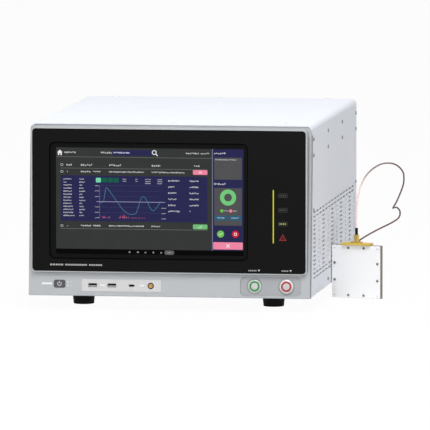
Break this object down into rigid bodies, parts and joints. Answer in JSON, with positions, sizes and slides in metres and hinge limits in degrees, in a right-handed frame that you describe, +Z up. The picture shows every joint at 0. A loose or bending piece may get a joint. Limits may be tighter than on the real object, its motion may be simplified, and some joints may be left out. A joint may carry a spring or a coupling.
{
  "type": "partial discharge tester",
  "caption": "Bench partial discharge tester: touch screen over a row of front controls, louvred case on four feet, and a flat white sensor on its coaxial lead.",
  "frame": {"origin": "middle of the set's footprint on the table, measured over the tester and its sensor without the lead", "axes": "+Z up, +Y from the screen to the rear panel, +X to the right as seen from the front"},
  "size_m": [0.5451, 0.6263, 0.283],
  "materials": {
    "painted_white": "satin powder coat",
    "painted_silver": "satin silver",
    "inner_steel": "plain zinc plated sheet",
    "screw_steel": "plated",
    "black_gloss": "gloss",
    "screen_glass": "clear over a lit panel",
    "display": "plain",
    "rubber_black": "matte",
    "black_plastic": "matte",
    "dark_cap": "satin",
    "grey_plate": "satin",
    "light_yellow": "lit lens",
    "ring_green": "lit lens",
    "ring_red": "lit lens",
    "button_grey": "satin",
    "bezel_white": "satin",
    "circuit_board": "solder mask",
    "socket_shell": "plated",
    "gold": "gold plated",
    "terminal_red": "gloss",
    "terminal_black": "gloss",
    "core_steel": "laminated",
    "winding": "varnished copper",
    "potted_block": "cast resin",
    "bare_aluminium": "bare",
    "sensor_box": "olive anodised",
    "sensor_face": "white",
    "cable_jacket": "translucent brown"
  },
  "bodies": {
    "tester": {"base_tray": "inner_steel", "cover": "painted_white", "cover_screws": "screw_steel", "feet": "rubber_black", "front_plate": "inner_steel", "rear_panel": "painted_white", "front_bezel": "painted_silver", "fascia": "black_gloss", "display_glass": "screen_glass", "display_module": "display", "display_bracket": "inner_steel", "status_light": "light_yellow", "status_light_board": "circuit_board", "power_switch": "black_plastic", "power_light_pipes": "bezel_white", "port_plate": "grey_plate", "usb_a_sockets": "socket_shell", "usb_c_socket": "socket_shell", "signal_jack": "gold", "front_io_board": "circuit_board", "button_pad": "painted_silver", "start_bezel": "bezel_white", "start_ring": "ring_green", "start_switch": "black_plastic", "stop_bezel": "bezel_white", "stop_ring": "ring_red", "stop_switch": "black_plastic", "fan_frame": "black_plastic", "fan_guard": "socket_shell", "fan_screws": "screw_steel", "mains_inlet": "black_plastic", "inlet_pins": "socket_shell", "earth_post": "gold", "earth_nut": "gold", "hv_terminal": "terminal_red", "return_terminal": "terminal_black", "lan_socket": "socket_shell", "serial_connector": "socket_shell", "sensor_input": "gold", "power_supply": "bare_aluminium", "hv_transformer_core": "core_steel", "hv_transformer_coil": "winding", "hv_module": "potted_block", "main_board": "circuit_board", "receiver_shield": "socket_shell", "heat_sink": "bare_aluminium", "sensor_body": "sensor_box", "sensor_cover": "sensor_face", "sensor_screws": "screw_steel", "sensor_top_plate": "gold", "sensor_jack": "gold", "plug_nuts": "gold", "plug_sleeves": "rubber_black", "sensor_cable": "cable_jacket"},
    "start_button_body": {"start_button": "button_grey"},
    "stop_button_body": {"stop_button": "button_grey"},
    "power_button_body": {"power_button": "dark_cap"},
    "rotor_body": {"fan_rotor": "black_plastic"},
    "rocker_body": {"mains_rocker": "black_plastic"},
    "drawer_body": {"fuse_drawer": "black_plastic"}
  },
  "joints": [
    {"name": "start_press", "type": "slide", "parent": "tester", "child": "start_button_body", "axis": [0, 0.9967, -0.0807], "range_m": [0, 0.002], "stiffness_N_per_m": 800},
    {"name": "stop_press", "type": "slide", "parent": "tester", "child": "stop_button_body", "axis": [0, 0.9967, -0.0807], "range_m": [0, 0.002], "stiffness_N_per_m": 800},
    {"name": "power_press", "type": "slide", "parent": "tester", "child": "power_button_body", "axis": [0, 0.9967, -0.0807], "range_m": [0, 0.0012], "stiffness_N_per_m": 800},
    {"name": "fan_spin", "type": "hinge", "parent": "tester", "child": "rotor_body", "pos_m": [-0.15997, 0.24942, 0.1867], "axis": [0, 1, 0], "continuous": true},
    {"name": "mains_rock", "type": "hinge", "parent": "tester", "child": "rocker_body", "pos_m": [-0.19997, 0.26142, 0.0947], "axis": [0, 0, 1], "range_deg": [0, 20]},
    {"name": "fuse_slide", "type": "slide", "parent": "tester", "child": "drawer_body", "axis": [0, 1, 0], "range_m": [0, 0.018]}
  ]
}
